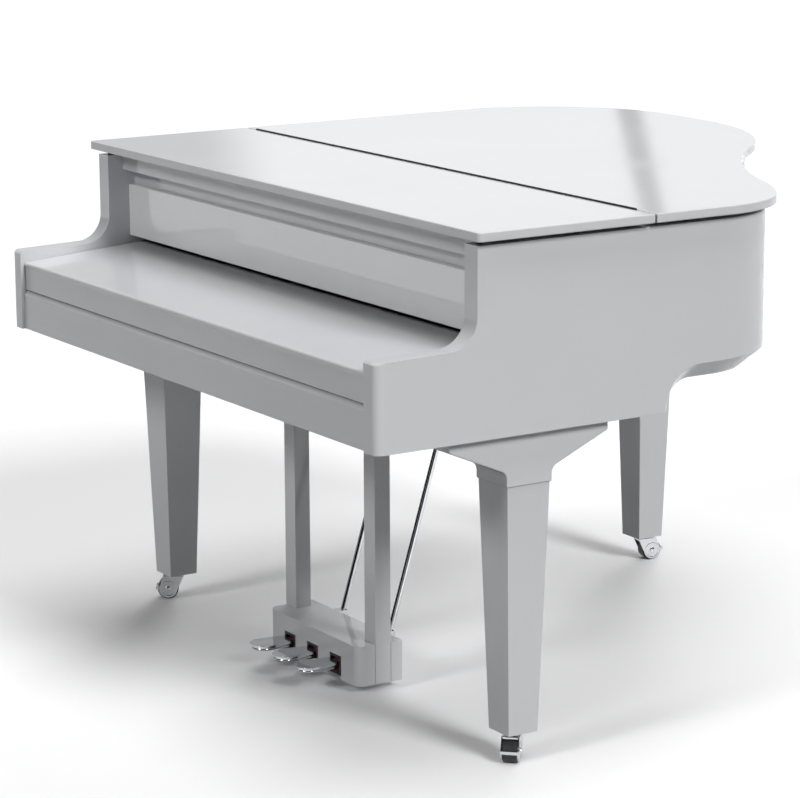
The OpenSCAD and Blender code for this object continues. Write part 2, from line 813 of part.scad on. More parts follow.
// Sound board electronics on posts on the rear bottom board
module main_board() {
    z = bottom_in + board_t;
    color([0.05, 0.35, 0.2]) translate([-560, -10, z]) {
        box([0, 0, 8], [200, 140, 10]);
        for (x = [10, 190], y = [10, 130]) translate([x, y, 0]) cylinder(r = 4, h = 9);
        for (x = [30, 90, 140]) box([x, 40, 9.9], [x + 32, 72, 14]);
    }
}

// Power supply and amplifier in a metal case
module power_unit() {
    z = bottom_in + board_t;
    color([0.6, 0.61, 0.63]) translate([-560, 180, z]) difference() {
        box([0, 0, 0], [150, 110, 50]);
        for (x = [20:12:130]) box([x, 20, 46], [x + 5, 90, 51]);
    }
}

// Connector boxes below the case: mains inlet at the rear, headphones at the front left
module connector_boxes() {
    color([0.1, 0.1, 0.11]) {
        difference() {
            box([-560, 120, bottom_in - 26], [-380, 180, bottom_in]);
            box([-540, 140, bottom_in - 27], [-512, 160, bottom_in - 8]);
            for (x = [-470:24:-400]) translate([x, 150, bottom_in - 27]) cylinder(r = 4, h = 19);
        }
        difference() {
            box([-600, -650, bottom_front - 24], [-520, -590, bottom_front]);
            rod_y(-651, -628, -560, bottom_front - 12, 3.2);
        }
    }
}

// Number of white keys below a black key, and its place within the octave
BLACK_STEP = [0, 2, 3, 5, 6];
function black_index(k) = 7 * floor(k / 5) + BLACK_STEP[k % 5];
// Centres of the black keys: one above the first white key pair, then fives
function black_x(k) = -keys_w / 2 + (1 + black_index(k)) * white_pitch;

// White keys: each is a wide front block, glued to a stick that narrows beside the black keys
module white_keys(first, last) {
    color([0.93, 0.93, 0.91]) difference() {
        for (i = [first:last]) {
            x = -keys_w / 2 + i * white_pitch;
            difference() {
                box([x + key_gap / 2, key_front, white_top - key_t],
                    [x + white_pitch - key_gap / 2, key_back, white_top]);
                box([x, black_front - 1.6, 0], [x + white_pitch, black_front - 1.5, 1000]);
                for (k = [0:35]) if (abs(black_x(k) - x - white_pitch / 2) < white_pitch)
                    box([black_x(k) - black_w / 2 - key_gap, black_front - 1.5, 0],
                        [black_x(k) + black_w / 2 + key_gap, key_back + 1, 1000]);
                rod_x(x - 1, x + white_pitch + 1, key_pivot_y, pivot_z, pivot_r + run);
            }
        }
    }
}

module black_keys(first, last) {
    z = white_top + black_h;
    color([0.05, 0.05, 0.06]) for (k = [first:last]) {
        difference() {
            along_x(black_x(k) - black_w / 2, black_w) polygon([[black_front, white_top - key_t],
                [black_front, white_top + 2], [black_front + 6, z], [black_end, z],
                [black_end, white_top], [key_back, white_top], [key_back, white_top - key_t]]);
            rod_x(black_x(k) - 10, black_x(k) + 10, key_pivot_y, pivot_z, pivot_r + run);
        }
    }
}

module white_keys_bass() { white_keys(0, 16); }
module white_keys_middle() { white_keys(17, 34); }
module white_keys_treble() { white_keys(35, 51); }
module black_keys_bass() { black_keys(0, 11); }
module black_keys_middle() { black_keys(12, 23); }
module black_keys_treble() { black_keys(24, 35); }

// Round-headed screws under the keyboard floor and the rear bottom board
module screws() {
    color(CHROME) {
        for (s = [-1, 1], x = [post_x - 27, post_x + 27], y = [post_y - 6, post_y + post_d + 6])
            translate([s * x, y, bottom_front - 15]) cylinder(r = 4.5, h = 3);
        for (x = [-500:200:500]) translate([x, -560, bottom_front - 3]) cylinder(r = 4.5, h = 3);
        for (x = [-500:200:500]) translate([x, 20, bottom_in - 3]) cylinder(r = 4.5, h = 3);
    }
}

side_right();
side_left();
rim();
keybed();
rear_bottom();
front_beam();
front_panel();
top_deck();
key_slip();
cheek_left();
cheek_right();
key_frame();
cover_rails();
key_cover();
front_lid();
main_lid();
flap_hinge_front();
flap_hinge_rear();
spine_hinge_case();
spine_hinge_lid();
lid_prop();
prop_bracket();
prop_pad();
music_desk();
desk_hinge();
desk_strut();
lid_bumpers();
leg_front_right();
leg_front_left();
leg_rear();
leg_brackets();
fork_front_right();
fork_front_left();
fork_rear();
wheel_front_right();
wheel_front_left();
wheel_rear();
lyre_box();
lyre_posts();
lyre_struts();
pedal_left();
pedal_middle();
pedal_right();
pedal_felts();
pedal_pins();
woofers();
tweeters();
speaker_grilles();
main_board();
power_unit();
connector_boxes();
power_button();
volume_knob();
white_keys_bass();
white_keys_middle();
white_keys_treble();
black_keys_bass();
black_keys_middle();
black_keys_treble();
screws();
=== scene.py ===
"""Looks of a white digital grand piano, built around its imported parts. Metres, shared frame."""
import json
import math
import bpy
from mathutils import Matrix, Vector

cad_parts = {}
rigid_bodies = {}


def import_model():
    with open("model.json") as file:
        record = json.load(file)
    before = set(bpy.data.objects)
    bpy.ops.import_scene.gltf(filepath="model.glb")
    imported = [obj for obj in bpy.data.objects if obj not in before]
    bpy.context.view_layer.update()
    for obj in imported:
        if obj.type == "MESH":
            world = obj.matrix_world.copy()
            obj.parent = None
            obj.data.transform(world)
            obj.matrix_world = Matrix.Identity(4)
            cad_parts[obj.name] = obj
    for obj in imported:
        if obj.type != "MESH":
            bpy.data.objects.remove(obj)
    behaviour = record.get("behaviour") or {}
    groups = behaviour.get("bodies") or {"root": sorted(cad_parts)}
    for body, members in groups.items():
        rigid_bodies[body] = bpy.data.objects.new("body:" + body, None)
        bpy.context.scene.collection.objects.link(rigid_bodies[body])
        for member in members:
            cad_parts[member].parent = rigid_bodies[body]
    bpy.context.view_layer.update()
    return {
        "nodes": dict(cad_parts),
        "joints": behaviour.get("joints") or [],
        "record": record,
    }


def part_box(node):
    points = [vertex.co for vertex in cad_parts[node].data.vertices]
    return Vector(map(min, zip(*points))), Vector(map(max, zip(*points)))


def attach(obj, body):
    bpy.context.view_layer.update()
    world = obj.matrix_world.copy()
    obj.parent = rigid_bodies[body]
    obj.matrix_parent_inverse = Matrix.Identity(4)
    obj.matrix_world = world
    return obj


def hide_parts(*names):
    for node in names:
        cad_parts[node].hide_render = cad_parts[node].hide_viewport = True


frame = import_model()

import bmesh
import bpy
from mathutils import Matrix, Vector

MM = 0.001
NODES = frame["nodes"]
NOISE_LOW, NOISE_HIGH = 0.3, 0.7


# ---------------------------------------------------------------- materials
def node_tree(name):
    mat = bpy.data.materials.new(name)
    mat.use_nodes = True
    tree = mat.node_tree
    tree.nodes.clear()
    out = tree.nodes.new("ShaderNodeOutputMaterial")
    bsdf = tree.nodes.new("ShaderNodeBsdfPrincipled")
    tree.links.new(bsdf.outputs[0], out.inputs[0])
    coord = tree.nodes.new("ShaderNodeTexCoord").outputs["Object"]
    return mat, tree, bsdf, coord


def noise(tree, coord, scale, detail=3.0, stretch=None):
    if stretch:
        mapping = tree.nodes.new("ShaderNodeMapping")
        mapping.inputs["Scale"].default_value = stretch
        tree.links.new(coord, mapping.inputs["Vector"])
        coord = mapping.outputs[0]
    tex = tree.nodes.new("ShaderNodeTexNoise")
    tex.inputs["Scale"].default_value = scale
    tex.inputs["Detail"].default_value = detail
    tree.links.new(coord, tex.inputs["Vector"])
    return tex.outputs["Fac"]


def ramp(tree, fac, stops):
    node = tree.nodes.new("ShaderNodeValToRGB")
    while len(node.color_ramp.elements) < len(stops):
        node.color_ramp.elements.new(0.5)
    for element, (place, color) in zip(node.color_ramp.elements, stops):
        element.position = place
        element.color = (*color, 1.0)
    tree.links.new(fac, node.inputs["Fac"])
    return node.outputs["Color"]


def spread(tree, fac, low, high):
    """Stretches the useful part of a noise over the range from low to high."""
    node = tree.nodes.new("ShaderNodeMapRange")
    node.inputs["From Min"].default_value = NOISE_LOW
    node.inputs["From Max"].default_value = NOISE_HIGH
    node.inputs["To Min"].default_value = low
    node.inputs["To Max"].default_value = high
    tree.links.new(fac, node.inputs["Value"])
    return node.outputs[0]


def bump(tree, bsdf, height, strength, distance):
    node = tree.nodes.new("ShaderNodeBump")
    node.inputs["Strength"].default_value = strength
    node.inputs["Distance"].default_value = distance
    tree.links.new(height, node.inputs["Height"])
    tree.links.new(node.outputs[0], bsdf.inputs["Normal"])


def surface(name, dark, light, tone_scale, rough, rough_scale, grain, stretch=None, **sockets):
    """Two close tones in a noise, a range of roughness, and a grain of (scale, strength, depth)."""
    mat, tree, bsdf, coord = node_tree(name)
    tone = noise(tree, coord, tone_scale, 4.0, stretch)
    tones = ramp(tree, tone, [(NOISE_LOW, dark), (NOISE_HIGH, light)])
    tree.links.new(tones, bsdf.inputs["Base Color"])
    wear = noise(tree, coord, rough_scale, 5.0, stretch)
    tree.links.new(spread(tree, wear, *rough), bsdf.inputs["Roughness"])
    scale, strength, depth = grain
    bump(tree, bsdf, noise(tree, coord, scale, 2.0, stretch), strength, depth)
    for socket, value in sockets.items():
        bsdf.inputs[socket.replace("_", " ")].default_value = value
    return mat


LACQUER = surface("white_lacquer", (0.585, 0.592, 0.612), (0.61, 0.617, 0.636), 2.2,
                  (0.03, 0.07), 7.0, (150.0, 0.015, 0.0005))
# A lighter copy of the white lacquer for the front panel alone: painted light, a brighter tone that
# stands in for the bright reflection the panel catches
PANEL_PAINTED_LIGHT = surface("panel_lacquer_painted_light", (0.83, 0.835, 0.85), (0.86, 0.865, 0.88), 2.2,
                (0.02, 0.05), 7.0, (150.0, 0.015, 0.0005))
CHROME = surface("chrome", (0.70, 0.71, 0.73), (0.80, 0.81, 0.83), 30.0,
                 (0.03, 0.08), 60.0, (220.0, 0.03, 0.0003), Metallic=1.0)
STEEL = surface("steel", (0.42, 0.43, 0.45), (0.56, 0.57, 0.59), 40.0,
                (0.28, 0.42), 90.0, (500.0, 0.08, 0.0003), Metallic=1.0)
BRUSHED = surface("aluminium", (0.60, 0.61, 0.63), (0.72, 0.73, 0.75), 60.0,
                  (0.25, 0.40), 120.0, (260.0, 0.15, 0.0003), stretch=(1.0, 30.0, 30.0),
                  Metallic=1.0)
BOARD = surface("black_board", (0.012, 0.012, 0.013), (0.03, 0.03, 0.032), 260.0,
                (0.55, 0.75), 30.0, (420.0, 0.35, 0.0006))
BLACK_METAL = surface("black_metal", (0.012, 0.012, 0.013), (0.028, 0.028, 0.03), 25.0,
                      (0.22, 0.36), 60.0, (700.0, 0.12, 0.0003), Coat_Weight=0.25)
RUBBER = surface("rubber", (0.015, 0.015, 0.016), (0.035, 0.035, 0.036), 50.0,
                 (0.55, 0.8), 80.0, (900.0, 0.3, 0.0004))
WHEEL = surface("wheel_plastic", (0.02, 0.02, 0.022), (0.04, 0.04, 0.042), 35.0,
                (0.3, 0.48), 70.0, (600.0, 0.12, 0.0003))
PLASTIC = surface("black_plastic", (0.014, 0.014, 0.015), (0.03, 0.03, 0.032), 45.0,
                  (0.38, 0.52), 60.0, (1100.0, 0.3, 0.0003))
FELT = surface("red_felt", (0.20, 0.006, 0.008), (0.46, 0.02, 0.022), 420.0,
               (0.9, 1.0), 120.0, (650.0, 0.8, 0.001), Sheen_Weight=0.5)
IVORY = surface("white_key", (0.78, 0.775, 0.74), (0.84, 0.835, 0.80), 14.0,
                (0.16, 0.30), 40.0, (300.0, 0.05, 0.0003), stretch=(1.0, 0.15, 1.0))
EBONY = surface("black_key", (0.008, 0.008, 0.009), (0.022, 0.021, 0.021), 120.0,
                (0.30, 0.46), 60.0, (380.0, 0.14, 0.0003), stretch=(1.0, 0.1, 1.0))


def circuit_board():
    mat, tree, bsdf, coord = node_tree("circuit_board")
    brick = tree.nodes.new("ShaderNodeTexBrick")
    brick.inputs["Scale"].default_value = 90.0
    brick.inputs["Mortar Size"].default_value = 0.018
    brick.inputs["Color1"].default_value = (0.006, 0.085, 0.04, 1.0)
    brick.inputs["Color2"].default_value = (0.008, 0.11, 0.05, 1.0)
    brick.inputs["Mortar"].default_value = (0.05, 0.26, 0.12, 1.0)
    tree.links.new(coord, brick.inputs["Vector"])
    tree.links.new(brick.outputs["Color"], bsdf.inputs["Base Color"])
    tree.links.new(spread(tree, noise(tree, coord, 60.0), 0.3, 0.5), bsdf.inputs["Roughness"])
    bump(tree, bsdf, brick.outputs["Fac"], 0.3, 0.0004)
    return mat


BY_SLOT = {"white_lacquer": LACQUER, "chrome": CHROME, "steel": STEEL, "aluminium": BRUSHED,
           "black_board": BOARD, "black_metal": BLACK_METAL, "rubber": RUBBER,
           "wheel_plastic": WHEEL, "red_felt": FELT, "black_plastic": PLASTIC,
           "circuit_board": circuit_board(), "white_key": IVORY, "black_key": EBONY}


# ---------------------------------------------------------------- carried-over parts
WELD_GAP = 0.02
FLAT_TURN = 0.6
FINE_EDGE = 40.0


def refine(node, width, segments=2, angle=32.0):
    """Welds a part's split vertices, clears its flat triangles, and softens its edges."""
    obj = NODES[node]
    weld = obj.modifiers.new("weld", "WELD")
    weld.merge_threshold = WELD_GAP * MM
    flat = obj.modifiers.new("flat", "DECIMATE")
    flat.decimate_type = "DISSOLVE"
    flat.angle_limit = math.radians(FLAT_TURN)
    soften(obj, width, segments, angle)
    for polygon in obj.data.polygons:
        polygon.use_smooth = True
    weighted(obj)


def soften(obj, width, segments, angle):
    """Rounds the edges that turn by more than angle degrees; width is in millimetres."""
    edge = obj.modifiers.new("edge", "BEVEL")
    edge.width = width * MM
    edge.segments = segments
    edge.limit_method = "ANGLE"
    edge.angle_limit = math.radians(angle)
    edge.use_clamp_overlap = True


def weighted(obj):
    normals = obj.modifiers.new("normals", "WEIGHTED_NORMAL")
    normals.weight = 100
    normals.keep_sharp = True


for part in frame["record"]["subparts"]:
    NODES[part["node"]].data.materials.clear()
    NODES[part["node"]].data.materials.append(BY_SLOT[part["material_slot"]])
# The front panel wears the lighter copy of the lacquer: painted light that stands in for its bright
# reflection
NODES["front_panel"].data.materials[0] = PANEL_PAINTED_LIGHT


# ---------------------------------------------------------------- mesh helpers
SHARP = math.radians(40.0)


def add_piece(name, bm, body, slot_name, replaced=(), width=0.0):
    """Turns a bmesh in millimetres into a piece that rides on a body.

    A width rounds its edges; without one, edges that turn sharply stay crisp.
    """
    bmesh.ops.recalc_face_normals(bm, faces=bm.faces)
    for edge in bm.edges:
        if not width and len(edge.link_faces) == 2 and edge.calc_face_angle(0) > SHARP:
            edge.smooth = False
    bmesh.ops.scale(bm, vec=(MM, MM, MM), verts=bm.verts)
    mesh = bpy.data.meshes.new(name)
    bm.to_mesh(mesh)
    bm.free()
    obj = bpy.data.objects.new(name, mesh)
    bpy.context.scene.collection.objects.link(obj)
    mesh.materials.append(BY_SLOT[slot_name])
    for polygon in mesh.polygons:
        polygon.use_smooth = True
    if width:
        soften(obj, width, 2, 30.0)
    weighted(obj)
    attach(obj, body)
    if replaced:
        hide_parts(*replaced)


def loft(bm, rings, wrap=False):
    """Skins closed rings of points with the same count; the ends get caps, or join up."""
    rows = [[bm.verts.new(p) for p in ring] for ring in rings]
    count = len(rows[0])
    pairs = list(zip(rows, rows[1:])) + ([(rows[-1], rows[0])] if wrap else [])
    for a, b in pairs:
        for i in range(count):
            j = (i + 1) % count
            bm.faces.new((a[i], a[j], b[j], b[i]))
    if not wrap:
        bm.faces.new(rows[0][::-1])
        bm.faces.new(rows[-1])


def revolve(bm, profile, centre, axis, count=28):
    """Turns (radius, height) points about an axis; both ends are capped."""
    axis = Vector(axis).normalized()
    side = axis.orthogonal().normalized()
    other = axis.cross(side)
    turns = [2 * math.pi * i / count for i in range(count)]
    loft(bm, [[Vector(centre) + axis * h + (side * math.cos(a) + other * math.sin(a)) * r
               for a in turns] for r, h in profile])


def arc(cx, cy, r, a0, a1, n):
    """Points on a circle from angle a0 to a1, in degrees, in n steps."""
    steps = [math.radians(a0 + (a1 - a0) * i / n) for i in range(n + 1)]
    return [(cx + r * math.cos(a), cy + r * math.sin(a)) for a in steps]


def rounded_levels(z0, z1, r, n=4):
    """(inset, z) pairs from the bottom to the top of a plate with rounded edges."""
    steps = [math.radians(90 * i / n) for i in range(n + 1)]
    low = [(r - r * math.sin(a), z0 + r - r * math.cos(a)) for a in steps]
    return low + [(inset, z0 + z1 - z) for inset, z in reversed(low)]


# ---------------------------------------------------------------- case and lid outline
lid_lo, lid_hi = (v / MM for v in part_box("main_lid"))
HALF = lid_hi.x
LID_Z0, LID_Z1 = lid_lo.z, lid_hi.z
LID_ROUND = 2.5
# The lid's overhang, the case wall, and the bevelled lower edge of that wall
OVER, WALL = 20.0, 40.0
BEVEL_H = 33.0
RIM_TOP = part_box("rim")[1].z / MM
BOTTOM_REAR = 699.0
BOTTOM_IN = BOTTOM_REAR - BEVEL_H
EDGE_ROUND = 1.6
# Arcs of the outline: the left rear corner, the tail, the bent side, and the belly's two
LEFT_C, LEFT_R = (-390.0, 398.0), 330.0
TAIL_C, TAIL_R, TAIL_TURN = (-282.0, 194.0), 534.0, 50.0
BENT_R, BELLY_START, BELLY_MID = 1008.0, 22.0, 38.0
BELLY_R1, BELLY_R2 = 480.0, 215.0


def along(centre, r, turn):
    """Point at r from a centre, turned clockwise from +Y by turn degrees."""
    return (centre[0] + r * math.sin(math.radians(turn)),
            centre[1] + r * math.cos(math.radians(turn)))


BENT_C = along(along(TAIL_C, TAIL_R, TAIL_TURN), BENT_R, TAIL_TURN)
BELLY_C1 = along(along(BENT_C, -BENT_R, BELLY_START), -BELLY_R1, BELLY_START)
BELLY_P = along(BELLY_C1, BELLY_R1, BELLY_MID)
BELLY_C2 = (HALF - BELLY_R2, along(BELLY_P, -BELLY_R2, BELLY_MID)[1])


def curved_edge(i):
    """Curved edge of the lid moved inwards by i, from the belly round the tail to the spine."""
    points = arc(*BELLY_C2, BELLY_R2 - i, 0, 90 - BELLY_MID, 24)[:-1]
    points += arc(*BELLY_C1, BELLY_R1 - i, 90 - BELLY_MID, 90 - BELLY_START, 8)[:-1]
    points += arc(*BENT_C, BENT_R + i, 270 - BELLY_START, 270 - TAIL_TURN, 20)[:-1]
    points += arc(*TAIL_C, TAIL_R - i, 90 - TAIL_TURN, 90, 26)
    return points + arc(*LEFT_C, LEFT_R - i, 90, 180, 36)


# ---------------------------------------------------------------- lids
def lid_ring(i, z):
    joint = lid_lo.y + i
    points = [(-HALF + i, joint), (HALF - i, joint)] + curved_edge(i)
    return [(x, y, z) for x, y in points]


bm = bmesh.new()
loft(bm, [lid_ring(i, z) for i, z in rounded_levels(LID_Z0, LID_Z1, LID_ROUND)])
add_piece("main_lid_board", bm, "main_lid", "white_lacquer", ["main_lid"])

flap_lo, flap_hi = (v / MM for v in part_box("front_lid"))
FLAP_CORNER = 8.0


def flap_ring(i, z):
    centre_x, centre_y = HALF - FLAP_CORNER, flap_lo.y + FLAP_CORNER
    joint = flap_hi.y - i
    points = arc(-centre_x, centre_y, FLAP_CORNER - i, 180, 270, 8)
    points += arc(centre_x, centre_y, FLAP_CORNER - i, 270, 360, 8)
    points += [(HALF - i, joint), (-HALF + i, joint)]
    return [(x, y, z) for x, y in points]


bm = bmesh.new()
loft(bm, [flap_ring(i, z) for i, z in rounded_levels(LID_Z0, LID_Z1, LID_ROUND)])
add_piece("front_lid_board", bm, "front_lid", "white_lacquer", ["front_lid"])

# ---------------------------------------------------------------- case sides
ARM_FRONT, ARM_TOP, ARM_FACE, ARM_CURVE, ARM_ROUND = -728.0, 777.0, -522.0, 55.0, 17.0
CURVE_STEP, ARM_CHAMFER = 3.0, 4.0
ROUND_STEPS = 12
FRONT_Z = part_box("side_right")[0].z / MM
STEP_Y, COVE_OUT = -33.0, 82.0
SIDE_X = HALF - OVER
BEVEL_FROM = math.radians(28.0)
NEAR = 0.01


def side_layer(x, front, y_end):
    """Outline of a side board at x, from its front edge to its joint with the curved rim."""
    cove = COVE_OUT - (SIDE_X - x) * BEVEL_H / WALL
    points = [(front, FRONT_Z)] + arc(STEP_Y, FRONT_Z, cove, 180, 90, 28)
    points += [(y_end, FRONT_Z + cove), (y_end, RIM_TOP), (ARM_FACE, RIM_TOP)]
    curve_z = ARM_TOP + ARM_CURVE + CURVE_STEP
    points += arc(ARM_FACE - ARM_CURVE, curve_z, ARM_CURVE, 0, -90, 24)
    points += [(front + ARM_CHAMFER, ARM_TOP), (front, ARM_TOP - ARM_CHAMFER)]
    return [(x, y, z) for y, z in points]


def side_board(name, node, sign, y_end):
    """Side board with its arm, whose front outer edge is rounded in ROUND_STEPS steps."""
    inner = SIDE_X - ARM_ROUND
    layers = [(SIDE_X - WALL, ARM_FRONT), (inner, ARM_FRONT)]
    for k in range(1, ROUND_STEPS + 1):
        a = math.radians(90 / ROUND_STEPS * k)
        layers.append((inner + ARM_ROUND * math.sin(a),
                       ARM_FRONT + ARM_ROUND * (1 - math.cos(a))))
    bm = bmesh.new()
    loft(bm, [side_layer(x, front, y_end) for x, front in layers])
    for v in bm.verts:
        v.co.x *= sign
    bevel_edges(bm, EDGE_ROUND, lambda e: all(abs(v.co.y - y_end) < NEAR for v in e.verts))
    add_piece(name, bm, "case", "white_lacquer", [node])


def bevel_edges(bm, width, skip):
    """Rounds the edges that turn by more than BEVEL_FROM, except those skip is true for."""
    bmesh.ops.recalc_face_normals(bm, faces=bm.faces)
    edges = [e for e in bm.edges if len(e.link_faces) == 2
             and e.calc_face_angle(0) > BEVEL_FROM and not skip(e)]
    bmesh.ops.bevel(bm, geom=edges, offset=width, offset_type="OFFSET", segments=3,
                    profile=0.5, affect="EDGES", clamp_overlap=True)


side_board("side_board_right", "side_right", 1, BELLY_C2[1])
side_board("side_board_left", "side_left", -1, LEFT_C[1])


def rim_section():
    """Section of the curved rim as (inset, z), from its outer face over the top to its bevel."""
    r = EDGE_ROUND
    turns = [math.radians(30 * k) for k in range(4)]
    points = [(0.0, BOTTOM_REAR + 0.6)]
    points += [(r - r * math.cos(a), RIM_TOP - r + r * math.sin(a)) for a in turns]
    points += [(WALL - r + r * math.sin(a), RIM_TOP - r + r * math.cos(a)) for a in turns]
    return points + [(WALL, BOTTOM_IN), (WALL - 0.5, BOTTOM_IN), (1.0, BOTTOM_REAR - 0.5)]


rim_lines = [(curved_edge(OVER + inset), z) for inset, z in rim_section()]
bm = bmesh.new()
loft(bm, [[(*line[k], z) for line, z in rim_lines] for k in range(len(rim_lines[0][0]))])
add_piece("curved_rim", bm, "case", "white_lacquer", ["rim"])

# ---------------------------------------------------------------- pedals and their slots
PEDAL_Z, PEDAL_Y, PEDAL_TIP, PEDAL_ROOT = 48.0, -362.0, -519.0, -354.0
TREAD_R, LEVER_HALF, PEDAL_T, PEDAL_ROUND = 20.0, 11.0, 10.0, 3.6
FLARE_GAP, FLARE_LENGTH, FLARE_STEPS = 4.0, 48.0, 9
CROWN_INSET, CROWN_RISE = 8.0, 0.7
BORE_R, BARREL_R, BARREL_HALF, BARREL_ROUND = 3.2, 8.0, 11.0, 0.6
WEB_HALF, WEB_FRONT, WEB_DEPTH, WEB_ROUND = 8.0, -484.0, 12.0, 2.5
PEDAL_X = (("left", -86.0), ("middle", 0.0), ("right", 86.0))
SLOT_HALF, SLOT_Z0, SLOT_Z1 = 18.0, 26.0, 61.0
LYRE_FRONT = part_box("lyre_box")[0].y / MM


def pedal_side():
    """Right half of the lever's outline as (x, y), from its root to the tip of the tread."""
    points = [(LEVER_HALF, PEDAL_ROOT), (LEVER_HALF, -400.0), (LEVER_HALF, LYRE_FRONT)]
    flare = TREAD_R - 1 - LEVER_HALF
    for k in range(1, FLARE_STEPS):
        t = k / FLARE_STEPS
        points.append((LEVER_HALF + flare * t * t * (3 - 2 * t),
                       LYRE_FRONT - FLARE_GAP - FLARE_LENGTH * t))
    return points + arc(0.0, PEDAL_TIP + TREAD_R, TREAD_R, 8, -90, 12)


def inset_loop(points, inset):
    """A closed outline whose points are moved sideways by inset."""
    moved = []
    for k, (x, y) in enumerate(points):
        before, after = points[k - 1], points[(k + 1) % len(points)]
        tangent = Vector((after[0] - before[0], after[1] - before[1])).normalized()
        moved.append((x + tangent.y * inset, y - tangent.x * inset))
    return moved


def lever(bm, x, outline):
    """The flat lever and tread with rounded edges and a slightly crowned top."""
    levels = rounded_levels(PEDAL_Z - PEDAL_T / 2, PEDAL_Z + PEDAL_T / 2, PEDAL_ROUND, 5)
    levels.append((CROWN_INSET, levels[-1][1] + CROWN_RISE))
    loft(bm, [[(x + px, py, z) for px, py in inset_loop(outline, -inset)]
              for inset, z in levels])


def barrel(bm, x):
    """The pivot barrel across the lever's rear end."""
    rim, end = BARREL_R - BARREL_ROUND, BARREL_HALF - BARREL_ROUND
    revolve(bm, [(BORE_R, -BARREL_HALF), (rim, -BARREL_HALF), (BARREL_R, -end),
                 (BARREL_R, end), (rim, BARREL_HALF), (BORE_R, BARREL_HALF)],
            (x, PEDAL_Y, PEDAL_Z), (1, 0, 0))


def web(bm, x):
    """The web under the lever, with a rounded nose and rounded lower edges."""
    low = PEDAL_Z - WEB_DEPTH
    rings = []
    for y, foot in ((WEB_FRONT, low + 3.0), (WEB_FRONT + 0.8, low + 1.2),
                    (WEB_FRONT + 3.0, low), (PEDAL_Y, low)):
        reach = WEB_HALF - WEB_ROUND
        ring = [(x - WEB_HALF, PEDAL_Z), (x + WEB_HALF, PEDAL_Z)]
        ring += arc(x + reach, foot + WEB_ROUND, WEB_ROUND, 0, -90, 4)
        ring += arc(x - reach, foot + WEB_ROUND, WEB_ROUND, -90, -180, 4)
        rings.append([(px, y, z) for px, z in ring])
    loft(bm, rings)


right_side = pedal_side()
pedal_outline = right_side[:-1] + [(-x, y) for x, y in reversed(right_side)]
for name, x in PEDAL_X:
    bm = bmesh.new()
    lever(bm, x, pedal_outline)
    barrel(bm, x)
    web(bm, x)
    add_piece("pedal_lever_" + name, bm, "pedal_" + name, "chrome", ["pedal_" + name])

# Frames round a slot as (outside the slot, wall, front, rear), and the plate at a slot's end
LINER = (-0.1, 0.8, 0.5, 86.0)
LIP = (2.2, 5.3, -0.9, 0.4)
END_INSET, END_FRONT, END_REAR = 0.5, 87.2, 87.8


def slot_ring(x, grow, y):
    """The slot's rectangle, grown, at y behind the front of the pedal box."""
    half, low, high = SLOT_HALF + grow, SLOT_Z0 - grow, SLOT_Z1 + grow
    corners = ((x - half, low), (x + half, low), (x + half, high), (x - half, high))
    return [(px, LYRE_FRONT + y, z) for px, z in corners]


def slot_frame(bm, x, grow, wall, front, rear):
    """A rectangular sleeve round the slot."""
    loft(bm, [slot_ring(x, grow, front), slot_ring(x, grow - wall, front),
              slot_ring(x, grow - wall, rear), slot_ring(x, grow, rear)], wrap=True)


bm = bmesh.new()
for _, x in PEDAL_X:
    slot_frame(bm, x, *LINER)
    slot_frame(bm, x, *LIP)
    loft(bm, [slot_ring(x, -END_INSET, y) for y in (END_FRONT, END_REAR)])
add_piece("pedal_slot_liners", bm, "case", "black_plastic", width=0.3)

# ---------------------------------------------------------------- caster axle caps
# Sections as (radius, distance along the axle from the wheel's middle)
AXLE_CAP = ((6.2, 16.4), (6.2, 17.6), (5.4, 18.7), (3.0, 19.3), (1.9, 19.3), (1.7, 18.2))
HUB_RING = ((17.4, 16.3), (17.4, 16.9), (16.6, 17.2), (15.4, 17.2), (14.6, 16.9), (14.6, 16.3))
for joint in frame["joints"]:
    if joint["name"].startswith("roll_"):
        centre = Vector(joint["pos_m"]) / MM
        axis = Vector(joint["axis"])
        bm = bmesh.new()
        for sign in (-1, 1):
            revolve(bm, AXLE_CAP, centre, sign * axis)
            revolve(bm, HUB_RING, centre, sign * axis, 48)
        add_piece(joint["parent"].replace("fork_", "axle_caps_"), bm, joint["parent"], "chrome")

# ---------------------------------------------------------------- plain case parts
for node in ("front_beam", "front_panel", "key_slip", "cheek_right", "keybed", "lyre_posts"):
    refine(node, 1.2)
for node in ("key_cover", "cheek_left", "music_desk", "lyre_box"):
    refine(node, 1.5)
for node in ("leg_front_right", "leg_front_left", "leg_rear", "leg_brackets"):
    refine(node, 2.6, 3)
for node in ("rear_bottom", "top_deck", "speaker_grilles", "woofers", "tweeters", "power_unit",
             "connector_boxes", "main_board", "lid_bumpers", "prop_pad", "prop_bracket",
             "lid_prop", "desk_hinge", "desk_strut", "cover_rails", "key_frame",
             "flap_hinge_front", "flap_hinge_rear", "spine_hinge_case", "spine_hinge_lid",
             "power_button", "volume_knob", "screws", "pedal_pins", "pedal_felts",
             "lyre_struts"):
    refine(node, 0.3, 1, FINE_EDGE)
for place in ("front_right", "front_left", "rear"):
    refine("fork_" + place, 0.5, 2, FINE_EDGE)
    refine("wheel_" + place, 2.2, 3, FINE_EDGE)
for register in ("bass", "middle", "treble"):
    refine("white_keys_" + register, 0.5, 1, FINE_EDGE)
    refine("black_keys_" + register, 1.0, 2, FINE_EDGE)

